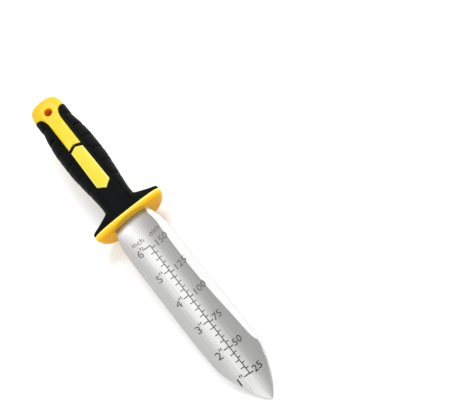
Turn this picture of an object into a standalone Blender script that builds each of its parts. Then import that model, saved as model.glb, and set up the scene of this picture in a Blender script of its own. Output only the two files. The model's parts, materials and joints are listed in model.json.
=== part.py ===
"""Hand trowel with a long pointed blade, a hand guard and a two-material handle.

Built straight along the tool's own X axis: X = 0 is the front face of the guard, +X runs to the tip,
+Z is the hollow side of the blade.  A parent empty pitches the finished tool down until it rests on
the guard and the tip, as it lies on a table.
"""
import math

import bmesh
import bpy

MM = 0.001
GAP = 0.3                      # clearance between touching pieces, mm
ROUND_SIDES = 32

# Blade, mm.  Half width, hollow depth and centre line height along the length.
BLADE_START = 0.3
BLADE_TIP = 177.8
BLADE_THICK = 2.2
EDGE_THICK = 0.5
BLADE_HALF_WIDTH = [
    (BLADE_START, 15.9), (4.0, 16.3), (8.0, 17.3), (12.0, 18.2), (16.0, 18.9), (22.0, 19.4),
    (30.0, 19.7), (70.0, 19.7), (90.0, 19.7), (110.0, 19.7), (130.0, 19.3), (138.0, 18.6), (144.0, 17.5),
    (150.0, 15.5), (156.0, 13.1), (162.0, 10.5), (167.0, 8.0), (172.0, 5.0), (175.5, 2.5),
    (177.2, 0.9), (BLADE_TIP, 0.3),
]
HOLLOW_DEPTH = [
    (BLADE_START, 1.2), (4.0, 3.0), (8.0, 4.4), (16.0, 6.0), (24.0, 6.9), (34.0, 7.4), (50.0, 7.5),
    (110.0, 7.5), (130.0, 7.0), (144.0, 5.6), (156.0, 3.2), (167.0, 1.4), (BLADE_TIP, 0.1),
]
CENTRE_DROP = [(BLADE_START, 0.0), (16.0, -0.6), (34.0, -1.5), (150.0, -1.5), (BLADE_TIP, -1.2)]
FACET_WIDTH = [
    (BLADE_START, 3.0), (14.0, 5.0), (24.0, 6.5), (60.0, 7.3), (85.0, 6.6), (108.0, 5.2), (125.0, 4.0),
    (131.5, 3.2), (136.0, 1.8), (139.0, 0.6), (170.0, 0.5), (BLADE_TIP, 0.1),
]
UNDER_BEVEL = 4.0              # width of the bevel under the left edge
EDGE_SHARE = 0.4               # ground edges take at most this share of the half width
TIP_THINNING = 0.25            # thickness gained for each mm of half width behind the tip
BLADE_COLUMNS = 7
TANG_REAR = -90.0
TANG_FRONT = 2.5               # runs this far into the root of the blade
TANG_HALF_WIDTH = 6.5
TANG_TOP = -0.2
TANG_BOTTOM = -1.75
TANG_HOLE_RADIUS = 2.5
TANG_HOLES = (-24.0, -52.0, -80.0)
PEG_BOTTOM = -4.5              # pegs of the core pass through the tang
PEG_TOP = 2.5

# Guard, mm.
GUARD_BACK = -6.0
GUARD_HALF_WIDTH = 30.5
GUARD_TOP = 7.3
GUARD_WIDEST = 1.8
GUARD_BOTTOM = -22.0
GUARD_TOP_POWER = 2.6
GUARD_BOTTOM_POWER = 2.2
GUARD_RIM = [(GUARD_BACK, 0.8), (-5.2, 0.0), (-4.0, 0.0), (-2.6, 0.35), (-1.4, 1.1), (-0.5, 2.2), (0.0, 3.8)]
SCOOP_DEPTH = 2.6              # bow-shaped hollow in the front, over the root of the blade
SCOOP_HALF_WIDTH = 17.0
SCOOP_BOTTOM = -8.0
SCOOP_COLUMNS = 12

GRIP_FRONT = GUARD_BACK - GAP

# Handle outline, mm: x, half width, top, widest height, bottom, top power, bottom power.
HANDLE_OUTLINE = [
    (-126.0, 7.8, 6.2, 0.0, -6.2, 2.3, 2.3),
    (-125.3, 9.7, 8.0, 0.0, -8.0, 2.4, 2.4),
    (-123.8, 11.6, 9.6, 0.0, -9.6, 2.5, 2.5),
    (-121.5, 12.8, 10.7, 0.0, -10.7, 2.6, 2.6),
    (-118.0, 13.4, 11.3, 0.0, -11.3, 2.6, 2.6),
    (-113.0, 13.9, 11.4, 0.0, -11.4, 2.6, 2.6),
    (-108.0, 13.9, 11.4, 0.0, -11.4, 2.6, 2.6),
    (-104.0, 13.7, 11.5, 0.0, -11.5, 2.6, 2.6),
    (-100.0, 14.2, 11.6, 0.0, -11.7, 2.6, 2.6),
    (-94.0, 15.2, 11.9, 0.0, -12.1, 2.6, 2.6),
    (-87.0, 15.9, 12.3, 0.0, -12.6, 2.6, 2.6),
    (-77.0, 16.5, 12.7, 0.0, -13.0, 2.6, 2.6),
    (-63.0, 16.5, 12.8, 0.0, -13.0, 2.6, 2.6),
    (-50.0, 15.6, 12.6, 0.0, -12.7, 2.6, 2.6),
    (-36.0, 14.2, 12.0, 0.0, -12.2, 2.6, 2.6),
    (-29.0, 13.5, 11.5, 0.0, -11.9, 2.6, 2.6),
    (-22.0, 13.1, 10.4, 0.0, -11.8, 2.6, 2.6),
    (-16.5, 13.4, 9.6, 0.0, -12.3, 2.6, 2.5),
    (-14.0, 16.2, 9.1, 0.4, -13.9, 2.6, 2.4),
    (-12.0, 20.8, 8.6, 0.9, -16.3, 2.6, 2.3),
    (-10.0, 25.6, 8.1, 1.4, -19.0, 2.6, 2.2),
    (-8.6, 29.5, 7.6, 1.7, -21.3, 2.6, 2.2),
    (-8.0, 30.2, 7.3, 1.8, -21.8, 2.6, 2.2),
    (GRIP_FRONT, 30.2, 7.2, 1.8, -21.8, 2.6, 2.2),
]
GRIP_REAR = -113.2
HANDLE_REAR = -126.0
CORE_FRONT = -60.0             # the strips end in their own V further back
SECTION_POINTS = 48
RUBBER_WALL = 3.2
YELLOW_PROUD = 0.2
POMMEL_FLAT = 11.0             # height of the flat faces round the hang hole
POMMEL_FLAT_FRONT = -99.0
SPINE_REAR = -119.0
SPINE_FLARE_START = -22.0

# Six cross grooves along each side of the grip.
GROOVE_FIRST = -37.0
GROOVE_PITCH = 13.3
GROOVE_COUNT = 6
GROOVE_HALF = 1.3
GROOVE_FLOOR_HALF = 0.5
GROOVE_DEPTH = 0.8
GROOVE_BAND = 0.72

# Yellow areas seen through the rubber, in plan: x, half width.
STRIP_HALF = 5.4
ISLAND_PLAN = [(-29.2, 0.0), (-33.7, 6.0), (-69.7, STRIP_HALF), (-72.3, 0.0)]
STRIP_PLAN = [
    (-75.4, 0.0), (-72.8, STRIP_HALF), (-101.5, STRIP_HALF), (-105.5, 6.0), (-108.3, 7.0),
    (-110.6, 8.6), (-112.0, 10.6), (-113.5, 13.4), (-113.5, 16.5), (-128.0, 16.5),
]
INLAY_THICK = 2.9
INLAY_PROUD = 0.35
INLAY_BEVEL = 0.4
INLAY_END_TRIM = 0.2           # blunts the two points

HANG_HOLE_X = -112.0
HANG_HOLE_RADIUS = 3.0

# Flat thumb rest on top of the neck: x, z.
THUMB_REST_REAR = (-31.0, 11.0)
THUMB_REST_FRONT = (-5.0, 7.1)

# Cutters reach past the handle by a clear margin.
CUT_HALF_HEIGHT = 20.0
CUT_HALF_WIDTH = 40.0
CUT_REAR = -132.0
CUT_FRONT = 4.0

# Search for the resting pose.
MAX_PITCH = math.radians(15.0)
PITCH_STEPS = 50

MATERIALS = {
    "steel": ((0.62, 0.62, 0.60, 1.0), 0.34, 1.0),
    "yellow": ((0.90, 0.60, 0.03, 1.0), 0.32, 0.0),
    "rubber": ((0.012, 0.012, 0.013, 1.0), 0.62, 0.0),
}


def clear_scene():
    for item in list(bpy.data.objects):
        bpy.data.objects.remove(item, do_unlink=True)


def material(name, kind):
    color, roughness, metallic = MATERIALS[kind]
    made = bpy.data.materials.new(name)
    made.use_nodes = True
    shader = made.node_tree.nodes["Principled BSDF"]
    shader.inputs["Base Color"].default_value = color
    shader.inputs["Roughness"].default_value = roughness
    shader.inputs["Metallic"].default_value = metallic
    return made


def value_at(table, x):
    """Straight-line reading of a (position, value) table."""
    ordered = sorted(table)
    if x <= ordered[0][0]:
        return ordered[0][1]
    for (x0, v0), (x1, v1) in zip(ordered, ordered[1:]):
        if x <= x1:
            return v0 + (v1 - v0) * (x - x0) / (x1 - x0)
    return ordered[-1][1]


def outline_at(x):
    columns = len(HANDLE_OUTLINE[0])
    return [value_at([(row[0], row[i]) for row in HANDLE_OUTLINE], x) for i in range(1, columns)]


def mesh_object(name, points, faces):
    mesh = bpy.data.meshes.new(name)
    mesh.from_pydata([(x * MM, y * MM, z * MM) for x, y, z in points], [], faces)
    work = bmesh.new()
    work.from_mesh(mesh)
    bmesh.ops.recalc_face_normals(work, faces=work.faces)
    work.to_mesh(mesh)
    work.free()
    made = bpy.data.objects.new(name, mesh)
    bpy.context.scene.collection.objects.link(made)
    return made


def loft(name, rings):
    """Skin a list of rings with the same number of points and close both ends."""
    count = len(rings[0])
    points = [point for ring in rings for point in ring]
    faces = []
    for r in range(len(rings) - 1):
        low = r * count
        high = low + count
        for i in range(count):
            j = (i + 1) % count
            faces.append((low + i, low + j, high + j, high + i))
    faces.append(tuple(range(count - 1, -1, -1)))
    last = (len(rings) - 1) * count
    faces.append(tuple(range(last, last + count)))
    return mesh_object(name, points, faces)


def prism(name, outline, low, high):
    """Upright prism over a plan outline of (x, y) points."""
    return loft(name, [[(x, y, low) for x, y in outline], [(x, y, high) for x, y in outline]])


def full_prism(name, outline):
    return prism(name, outline, -CUT_HALF_HEIGHT, CUT_HALF_HEIGHT)


def rectangle(rear, front, half_width):
    return [(rear, -half_width), (front, -half_width), (front, half_width), (rear, half_width)]


def rod(name, x, radius, low, high):
    ring = []
    for i in range(ROUND_SIDES):
        turn = 2.0 * math.pi * i / ROUND_SIDES
        ring.append((x + radius * math.cos(turn), radius * math.sin(turn)))
    return prism(name, ring, low, high)


def boolean(target, tool, operation):
    """Apply one exact boolean to the target and remove the tool."""
    step = target.modifiers.new(operation.lower(), "BOOLEAN")
    step.operation = operation
    step.solver = "EXACT"
    step.object = tool
    bpy.context.view_layer.update()
    graph = bpy.context.evaluated_depsgraph_get()
    result = bpy.data.meshes.new_from_object(target.evaluated_get(graph))
    target.modifiers.clear()
    target.data = result
    bpy.data.objects.remove(tool, do_unlink=True)


def oval(x, half_width, top, widest, bottom, top_power, bottom_power, inset=0.0, notch=0.0):
    """Ring whose upper and lower halves are separate superellipses; notch cuts into both sides."""
    ring = []
    for i in range(SECTION_POINTS):
        turn = 2.0 * math.pi * (i + 0.5) / SECTION_POINTS
        across = math.cos(turn)
        up = math.sin(turn)
        power = top_power if up > 0.0 else bottom_power
        height = (top - widest if up > 0.0 else widest - bottom) - inset
        y = (half_width - inset) * math.copysign(abs(across) ** (2.0 / power), across)
        z = widest + height * math.copysign(abs(up) ** (2.0 / power), up)
        if notch > 0.0 and abs(up) < GROOVE_BAND:
            y -= math.copysign(notch, y)
        ring.append((x, y, z))
    return ring


def mirrored_plan(half, grow=0.0):
    """Close a half outline over the centre line and move every side outward by grow."""
    left = [(x, -y) for x, y in reversed(half) if y > 0.0]
    plan = half + left
    turning = sum(a[0] * b[1] - b[0] * a[1] for a, b in zip(plan, plan[1:] + plan[:1]))
    sense = math.copysign(1.0, turning)
    grown = []
    for before, here, after in zip(plan[-1:] + plan[:-1], plan, plan[1:] + plan[:1]):
        first = math.atan2(here[1] - before[1], here[0] - before[0])
        second = math.atan2(after[1] - here[1], after[0] - here[0])
        bend = math.remainder(second - first, 2.0 * math.pi)
        outward = first + bend / 2.0 - sense * math.pi / 2.0
        reach = grow / math.cos(bend / 2.0)
        grown.append((here[0] + reach * math.cos(outward), here[1] + reach * math.sin(outward)))
    return grown


def blade_rings():
    """Cross sections of the hollow blade: ground on top along the right edge, underneath along the left."""
    stations = sorted({x for table in (BLADE_HALF_WIDTH, FACET_WIDTH, HOLLOW_DEPTH) for x, _ in table})
    rings = []
    for x in stations:
        half = value_at(BLADE_HALF_WIDTH, x)
        depth = value_at(HOLLOW_DEPTH, x)
        centre = value_at(CENTRE_DROP, x)
        crease = half - min(value_at(FACET_WIDTH, x), half * EDGE_SHARE)
        thick = min(BLADE_THICK, EDGE_THICK + half * TIP_THINNING)
        bevel = min(UNDER_BEVEL, half * EDGE_SHARE)
        under = []
        upper = []
        for i in range(-BLADE_COLUMNS, BLADE_COLUMNS + 1):
            y = (half - bevel) * i / BLADE_COLUMNS if i < 0 else half * i / BLADE_COLUMNS
            under.append((x, y, centre - thick + depth * (y / half) ** 2))
            y = crease * i / BLADE_COLUMNS if i > 0 else half * i / BLADE_COLUMNS
            upper.append((x, y, centre + depth * (y / half) ** 2))
        right_rim = (x, half, centre - thick + depth + EDGE_THICK)
        left_rim = (x, -half, centre + depth - EDGE_THICK)
        rings.append(under + [right_rim] + upper[::-1] + [left_rim])
    return rings


def make_blade():
    """Hollow pointed blade with both edges ground, and its tang with three holes."""
    blade = loft("blade", blade_rings())
    tang_plan = rectangle(TANG_REAR, TANG_FRONT, TANG_HALF_WIDTH)
    boolean(blade, prism("tang", tang_plan, TANG_BOTTOM, TANG_TOP), "UNION")
    for x in TANG_HOLES:
        hole = rod("tang_hole", x, TANG_HOLE_RADIUS, -CUT_HALF_HEIGHT, CUT_HALF_HEIGHT)
        boolean(blade, hole, "DIFFERENCE")
    return blade


def tang_room(name):
    """Room for the tang, wider than it by the gap on every side."""
    plan = rectangle(TANG_REAR - GAP, CUT_FRONT, TANG_HALF_WIDTH + GAP)
    return prism(name, plan, TANG_BOTTOM - GAP, TANG_TOP + GAP)


def root_scoop():
    """Cutter for the hollow in the front of the guard, deepest on the centre line."""
    outline = [(CUT_FRONT, -SCOOP_HALF_WIDTH), (CUT_FRONT, SCOOP_HALF_WIDTH)]
    for i in range(SCOOP_COLUMNS + 1):
        across = 1.0 - 2.0 * i / SCOOP_COLUMNS
        outline.append((-SCOOP_DEPTH * (1.0 - across * across), SCOOP_HALF_WIDTH * across))
    return prism("root_scoop", outline, SCOOP_BOTTOM, CUT_HALF_HEIGHT)


def make_guard():
    """Hand guard plate with a rounded front rim, the hollow over the blade and the slot for the tang."""
    rings = []
    for x, inset in GUARD_RIM:
        rings.append(oval(x, GUARD_HALF_WIDTH, GUARD_TOP, GUARD_WIDEST, GUARD_BOTTOM,
                          GUARD_TOP_POWER, GUARD_BOTTOM_POWER, inset))
    guard = loft("guard", rings)
    boolean(guard, root_scoop(), "DIFFERENCE")
    boolean(guard, tang_room("guard_slot"), "DIFFERENCE")
    return guard


def handle_rings(start, end, inset=0.0, with_grooves=False):
    """Rings of the handle outline between two positions."""
    stations = {row[0] for row in HANDLE_OUTLINE if start < row[0] < end} | {start, end}
    notches = {}
    if with_grooves:
        for i in range(GROOVE_COUNT):
            centre = GROOVE_FIRST - GROOVE_PITCH * i
            for side in (-1.0, 1.0):
                notches[centre + side * GROOVE_HALF] = 0.0
                notches[centre + side * GROOVE_FLOOR_HALF] = GROOVE_DEPTH
        crowded = {x for x in stations for g in notches if start < x < end and abs(x - g) < GROOVE_HALF}
        stations = (stations - crowded) | set(notches)
    return [oval(x, *outline_at(x), inset, notches.get(x, 0.0)) for x in sorted(stations)]


def spine_rings(front, grow=0.0):
    """Rings of the hard core under the rubber; straight through the flared neck."""
    stations = [row[0] for row in HANDLE_OUTLINE if SPINE_REAR < row[0] < SPINE_FLARE_START]
    stations = [SPINE_REAR] + stations + [SPINE_FLARE_START, front]
    return [oval(x, *outline_at(min(x, SPINE_FLARE_START)), RUBBER_WALL - grow) for x in stations]


def make_core():
    """Hard yellow core: spine, top and bottom strips, pommel, hang hole and the pegs in the tang."""
    core = loft("handle_core", handle_rings(HANDLE_REAR, CORE_FRONT, -YELLOW_PROUD))
    boolean(core, full_prism("strip_plan", mirrored_plan(STRIP_PLAN)), "INTERSECT")
    boolean(core, loft("spine", spine_rings(GRIP_FRONT)), "UNION")
    flat_plan = rectangle(CUT_REAR, POMMEL_FLAT_FRONT, CUT_HALF_WIDTH)
    boolean(core, prism("top_flat", flat_plan, POMMEL_FLAT, CUT_HALF_HEIGHT), "DIFFERENCE")
    boolean(core, prism("bottom_flat", flat_plan, -CUT_HALF_HEIGHT, -POMMEL_FLAT), "DIFFERENCE")
    boolean(core, tang_room("core_slot"), "DIFFERENCE")
    for x in TANG_HOLES:
        boolean(core, rod("tang_peg", x, TANG_HOLE_RADIUS - GAP, PEG_BOTTOM, PEG_TOP), "UNION")
    hole = rod("hang_hole", HANG_HOLE_X, HANG_HOLE_RADIUS, -CUT_HALF_HEIGHT, CUT_HALF_HEIGHT)
    boolean(core, hole, "DIFFERENCE")
    return core


def make_grip():
    """Black rubber sleeve with grooved sides, flared neck, thumb rest and yellow windows."""
    grip = loft("grip", handle_rings(GRIP_REAR, GRIP_FRONT, 0.0, True))
    boolean(grip, loft("spine_room", spine_rings(0.0, GAP)), "DIFFERENCE")
    boolean(grip, full_prism("strip_window", mirrored_plan(STRIP_PLAN, GAP)), "DIFFERENCE")
    boolean(grip, full_prism("island_window", mirrored_plan(ISLAND_PLAN, GAP)), "DIFFERENCE")
    (x0, z0), (x1, z1) = THUMB_REST_REAR, THUMB_REST_FRONT
    side = [(x0, z0), (x1, z1), (x1, CUT_HALF_HEIGHT), (x0, CUT_HALF_HEIGHT)]
    wedge = loft("thumb_wedge", [[(x, y, z) for x, z in side] for y in (-CUT_HALF_WIDTH, CUT_HALF_WIDTH)])
    boolean(grip, wedge, "DIFFERENCE")
    return grip


def make_inlay(name, side):
    """Long six-sided yellow inlay; side is +1 for the top, -1 for the underside."""
    rings = []
    rear = ISLAND_PLAN[-1][0] + INLAY_END_TRIM
    front = ISLAND_PLAN[0][0] - INLAY_END_TRIM
    stations = {x for x, _ in ISLAND_PLAN[1:-1]} | {row[0] for row in HANDLE_OUTLINE if rear < row[0] < front}
    for x in sorted(stations | {rear, front}):
        _, top, _, bottom, _, _ = outline_at(x)
        half = value_at(ISLAND_PLAN, x)
        face = (top if side > 0 else -bottom) + INLAY_PROUD
        inner = half - min(INLAY_BEVEL, half / 2.0)
        low = side * (face - INLAY_PROUD - INLAY_THICK)
        edge = side * (face - INLAY_BEVEL)
        high = side * face
        rings.append([(x, -half, low), (x, half, low), (x, half, edge), (x, inner, high),
                      (x, -inner, high), (x, -half, edge)])
    return loft(name, rings)


def lowest(item, pitch):
    """Lowest point of a piece when the tool is pitched tip down."""
    return min(v.co.z * math.cos(pitch) - v.co.x * math.sin(pitch) for v in item.data.vertices)


def resting_pitch(blade, guard):
    """Pitch at which the blade and the guard are at the same height."""
    low = 0.0
    high = MAX_PITCH
    for _ in range(PITCH_STEPS):
        middle = (low + high) / 2.0
        if lowest(blade, middle) > lowest(guard, middle):
            low = middle
        else:
            high = middle
    return (low + high) / 2.0


def main():
    clear_scene()
    blade = make_blade()
    guard = make_guard()
    core = make_core()
    grip = make_grip()
    top_inlay = make_inlay("top_inlay", 1)
    bottom_inlay = make_inlay("bottom_inlay", -1)
    kinds = [(blade, "steel"), (guard, "yellow"), (core, "yellow"), (grip, "rubber"),
             (top_inlay, "yellow"), (bottom_inlay, "yellow")]
    pitch = resting_pitch(blade, guard)
    rest = bpy.data.objects.new("resting_pose", None)
    bpy.context.scene.collection.objects.link(rest)
    rest.rotation_euler = (0.0, pitch, 0.0)
    turned = [v.co.x * math.cos(pitch) + v.co.z * math.sin(pitch) for o, _ in kinds for v in o.data.vertices]
    rest.location = (-(min(turned) + max(turned)) / 2.0, 0.0, -lowest(guard, pitch))
    for item, kind in kinds:
        item.data.materials.clear()
        item.data.materials.append(material(item.name + "_material", kind))
        item.parent = rest
        for face in item.data.polygons:
            face.material_index = 0
    bpy.context.view_layer.update()


main()
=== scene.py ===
"""Looks of the hand trowel: brushed hollow blade with a depth scale, yellow guard, two-material handle.

Shapes are written in the tool's own axes in millimetres: x = 0 is the front face of the guard, +x runs to
the tip, +z is the hollow side of the blade.  to_world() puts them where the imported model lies.
"""
import json
import math

import bmesh
import bpy
import numpy as np
from mathutils import Matrix, Vector


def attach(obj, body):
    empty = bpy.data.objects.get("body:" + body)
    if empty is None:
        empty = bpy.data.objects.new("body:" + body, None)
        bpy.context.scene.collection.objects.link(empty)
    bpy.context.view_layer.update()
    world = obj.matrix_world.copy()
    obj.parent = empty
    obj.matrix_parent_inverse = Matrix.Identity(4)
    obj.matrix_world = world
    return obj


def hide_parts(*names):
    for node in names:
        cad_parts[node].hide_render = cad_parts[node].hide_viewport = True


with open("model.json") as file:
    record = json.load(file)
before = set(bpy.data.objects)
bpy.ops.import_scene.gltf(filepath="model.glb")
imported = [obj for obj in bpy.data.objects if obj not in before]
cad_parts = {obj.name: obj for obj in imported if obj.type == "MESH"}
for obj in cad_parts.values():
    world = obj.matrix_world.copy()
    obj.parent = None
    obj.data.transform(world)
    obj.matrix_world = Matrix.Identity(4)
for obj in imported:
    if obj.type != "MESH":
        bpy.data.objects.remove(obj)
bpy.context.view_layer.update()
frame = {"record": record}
MM = 0.001
WELD = 0.01 * MM
SOFT_ANGLE = 50.0              # degrees; sharper edges of the plastic and rubber stay creased

# The tool's axes in the world, from the flat face beside the hang hole.
FACE_ON_TOOL = Vector((-103.5, 0.0, 11.0))
FACE = [m for m in frame["record"]["mounts"] if m["name"] == "hang_hole_face_top"][0]
PITCH = math.atan2(FACE["axis"][0], FACE["axis"][2])
TURN = Matrix.Rotation(PITCH, 3, "Y")
ORIGIN = Vector(FACE["pos_m"]) - TURN @ (FACE_ON_TOOL * MM)
ORIGIN_ALONG = (TURN.transposed() @ ORIGIN).x

# Blade, mm: half width, hollow depth, centre line height and ground facet width along the length.
ROOT = -3.0
TIP = 177.8
BLADE_HALF = [
    (ROOT, 15.8), (0.3, 15.9), (4.0, 16.3), (8.0, 17.3), (12.0, 18.2), (16.0, 18.9), (22.0, 19.4),
    (30.0, 19.7), (110.0, 19.7), (130.0, 19.3), (138.0, 18.6), (144.0, 17.5), (150.0, 15.5),
    (156.0, 13.1), (162.0, 10.5), (167.0, 8.0), (172.0, 5.0), (175.5, 2.5), (177.2, 0.9), (TIP, 0.3),
]
HOLLOW = [
    (ROOT, 0.6), (0.3, 1.2), (4.0, 3.0), (8.0, 4.4), (16.0, 6.0), (24.0, 6.9), (34.0, 7.4), (50.0, 7.5),
    (110.0, 7.5), (130.0, 7.0), (144.0, 5.6), (156.0, 3.2), (167.0, 1.4), (TIP, 0.1),
]
DROP = [(ROOT, 0.0), (0.3, 0.0), (16.0, -0.6), (34.0, -1.5), (150.0, -1.5), (TIP, -1.2)]
FACET = [
    (ROOT, 2.4), (0.3, 3.0), (14.0, 5.0), (24.0, 6.5), (60.0, 7.3), (85.0, 6.6), (108.0, 5.2),
    (125.0, 4.0), (131.5, 3.2), (136.0, 1.8), (139.0, 0.6), (170.0, 0.5), (TIP, 0.1),
]
THICK = 2.2
EDGE = 0.5                     # thickness left at the rim
TIP_THINNING = 0.25            # thickness gained for each mm of half width behind the tip
EDGE_SHARE = 0.4               # ground edges take at most this share of the half width
EDGE_LINE = 0.35               # plain rim outside the ground facet
UNDER_BEVEL = 4.0
UNDER_BEVEL_END = 150.0
LEAST_FACET = 0.55             # narrower than this, the facet is plain steel
FACING = 0.2                   # a ground edge faces up or down by at least this much
BLADE_COLUMNS = 30
FACET_COLUMNS = (0.25, 0.5, 0.75, 1.0)
BEVEL_COLUMNS = (0.5, 0.96)
RIM_COLUMN = 0.99
CREASE_MARGIN = 0.02

# Handle outline, mm: x, half width, top, widest height, bottom, top power, bottom power.
OUTLINE = [
    (-126.0, 7.8, 6.2, 0.0, -6.2, 2.3, 2.3),
    (-125.3, 9.7, 8.0, 0.0, -8.0, 2.4, 2.4),
    (-123.8, 11.6, 9.6, 0.0, -9.6, 2.5, 2.5),
    (-121.5, 12.8, 10.7, 0.0, -10.7, 2.6, 2.6),
    (-118.0, 13.4, 11.3, 0.0, -11.3, 2.6, 2.6),
    (-113.0, 13.9, 11.4, 0.0, -11.4, 2.6, 2.6),
    (-108.0, 13.9, 11.4, 0.0, -11.4, 2.6, 2.6),
    (-104.0, 13.7, 11.5, 0.0, -11.5, 2.6, 2.6),
    (-100.0, 14.2, 11.6, 0.0, -11.7, 2.6, 2.6),
    (-94.0, 15.2, 11.9, 0.0, -12.1, 2.6, 2.6),
    (-87.0, 15.9, 12.3, 0.0, -12.6, 2.6, 2.6),
    (-77.0, 16.5, 12.7, 0.0, -13.0, 2.6, 2.6),
    (-63.0, 16.5, 12.8, 0.0, -13.0, 2.6, 2.6),
    (-50.0, 15.6, 12.6, 0.0, -12.7, 2.6, 2.6),
    (-36.0, 14.2, 12.0, 0.0, -12.2, 2.6, 2.6),
    (-29.0, 13.5, 11.5, 0.0, -11.9, 2.6, 2.6),
    (-22.0, 13.1, 10.4, 0.0, -11.8, 2.6, 2.6),
    (-16.5, 13.4, 9.6, 0.0, -12.3, 2.6, 2.5),
    (-14.0, 16.2, 9.1, 0.4, -13.9, 2.6, 2.4),
    (-12.0, 20.8, 8.6, 0.9, -16.3, 2.6, 2.3),
    (-10.0, 25.6, 8.1, 1.4, -19.0, 2.6, 2.2),
    (-8.6, 29.5, 7.6, 1.7, -21.3, 2.6, 2.2),
    (-8.0, 30.2, 7.3, 1.8, -21.8, 2.6, 2.2),
    (-6.1, 30.2, 7.2, 1.8, -21.8, 2.6, 2.2),
]

# Guard, mm; the rim is x and how far the outline is drawn in there.
GUARD_HALF_WIDTH = 30.5
GUARD_TOP = 7.3
GUARD_WIDEST = 1.8
GUARD_BOTTOM = -22.0
GUARD_TOP_POWER = 2.6
GUARD_BOTTOM_POWER = 2.2
GUARD_RIM = [
    (-6.0, 0.9), (-5.9, 0.5), (-5.7, 0.2), (-5.4, 0.05), (-5.0, 0.0), (-4.5, 0.0), (-3.9, 0.04),
    (-3.3, 0.15), (-2.7, 0.35), (-2.1, 0.65), (-1.5, 1.05), (-1.0, 1.55), (-0.6, 2.1), (-0.3, 2.75),
    (-0.1, 3.4), (0.0, 4.2),
]
GUARD_SIDES = 176
FRONT_RINGS = (0.95, 0.88, 0.8, 0.7, 0.6, 0.5, 0.4, 0.3, 0.2, 0.1, 0.03)
SCOOP_DEPTH = 2.6              # bow-shaped hollow in the front, over the root of the blade
SCOOP_HALF_WIDTH = 17.0
SCOOP_BOTTOM = (-9.0, -7.0)

# Yellow areas, mm: x and half width of the strip and of the trench in the rubber round it.
STRIP = 5.4
STRIP_EDGE = [
    (-114.0, 14.6), (-113.5, 13.4), (-112.0, 10.6), (-110.6, 8.6), (-108.3, 7.0), (-105.5, 6.0),
    (-101.5, STRIP), (-60.0, STRIP),
]
TRENCH_EDGE = STRIP_EDGE[:-1] + [(-69.7, STRIP), (-33.7, 6.0), (-29.1, 0.06), (-6.0, 0.06)]
STRIP_FRONT = -75.4
STRIP_POINT = 2.6
STRIP_POINT_START = -84.0
STRIP_PROUD = 0.22
STRIP_EASE = 0.42              # the strip's rim falls by this over the ease's width
STRIP_EASE_WIDTH = 0.6
STRIP_FRONT_SLOPE = 0.7
POMMEL_PROUD = 0.12
CORE_DEPTH = 1.6               # how deep the core runs under the rubber
CORE_RIM = 0.999
CORE_COLUMNS = (0.0, 0.15, 0.3, 0.45, 0.6, 0.72, 0.82, 0.9, 0.95, 0.98, 1.0)
CORE_SIDE_COLUMNS = 12
FLAT = 11.0                    # height of the flat faces round the hang hole
FLAT_FADE = (-102.0, -92.0)
FLAT_RISE = 1.6

# Inlays, mm; the columns are shares of the half width, 0 on the centre line and 1 at the edge.
INLAY_REAR = -72.3
INLAY_FRONT = -29.2
INLAY_REAR_POINT = 2.6
INLAY_FRONT_POINT = 4.5
INLAY_HALF = (STRIP, 6.0)
INLAY_PROUD = 0.32
INLAY_EASE = 0.5
INLAY_EASE_WIDTH = 0.95
INLAY_END_SLOPE = 0.87
INLAY_DEPTH = 1.6
INLAY_COLUMNS = (0.25, 0.5, 0.7, 0.8, 0.835, 0.87, 0.905, 0.94, 0.97, 0.985, 1.0)
INLAY_END_ROWS = (0.0, 0.12, 0.25, 0.45, 0.7, 0.9, 1.1)
INLAY_BODY_START = 1.6
INLAY_BODY_ROWS = 44
# eased edge faces tilted this much get the painted highlight
INLAY_HIGHLIGHT_FACING = (0.3, 0.95)

# Hang hole, mm: z and radius of its eased wall.
HOLE_X = -112.0
HOLE_PROFILE = [
    (-14.0, 5.6), (-11.6, 4.0), (-10.9, 3.4), (-10.3, 3.1), (-9.6, 3.0),
    (9.6, 3.0), (10.3, 3.1), (10.9, 3.4), (11.6, 4.0), (14.0, 5.6),
]
HOLE_SIDES = 48
HOLE_IN_RUBBER = 0.5           # the rubber keeps this far off the hole
# faces of the hole's wall within this radius and height get the deep orange painted shade
HOLE_SHADE_RADIUS = 3.6
HOLE_SHADE_HEIGHT = 10.95

# Rubber relief, mm.  A pair says where a slope starts and ends, from the trench's edge, the line groove,
# the nearest cross groove or along the tool.
TRENCH_DEPTH = 0.75
TRENCH_WALL = (0.02, 0.3)
TRENCH_END = (-29.4, -29.0)
LIP_DEPTH = 0.2
LIP_WALL = (0.1, 0.7)
LINE_GROOVE = 9.0
LINE_CLEAR = 2.2               # the line groove keeps this far off the trench
LINE_DEPTH = 0.8
LINE_HALF = 0.5
LINE_START = (-109.0, -104.0)
LINE_END = (-12.0, -9.0)
GROOVES = [-37.0 - 13.3 * i for i in range(6)]
GROOVE_DEPTH = 0.95
GROOVE_WALL = (0.35, 1.0)
GROOVE_BAND = (0.1, 0.8)
GROOVE_ROUND = (2.0, 8.0)      # the grooves are shallower at mid height
GROOVE_MIDDLE_SHARE = 0.55
RIB_DEPTH = 0.22               # the ribs between the grooves are slightly domed
RIB_SLOPE = (0.8, 3.0)
RIB_SPAN = (-110.0, -21.0)
THUMB_REST = ((-31.0, 11.0), (-5.0, 7.1))
THUMB_START = (-31.5, -28.5)
THUMB_HALF_WIDTH = 8.8
TRENCH_COLUMNS = 6
WALL_COLUMNS = (0.06, 0.14, 0.3, 0.5, 0.7, 0.84, 0.93, 1.0)
LINE_COLUMNS = (0.35, 0.8)
TRENCH_MARGIN = 0.25           # columns keep at least these distances from the side of the handle
LINE_MARGIN = 0.15
RIM_MARGIN = 0.02
LINE_OFF_TRENCH = 0.12
GRIP_SIDE_COLUMNS = 18

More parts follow.
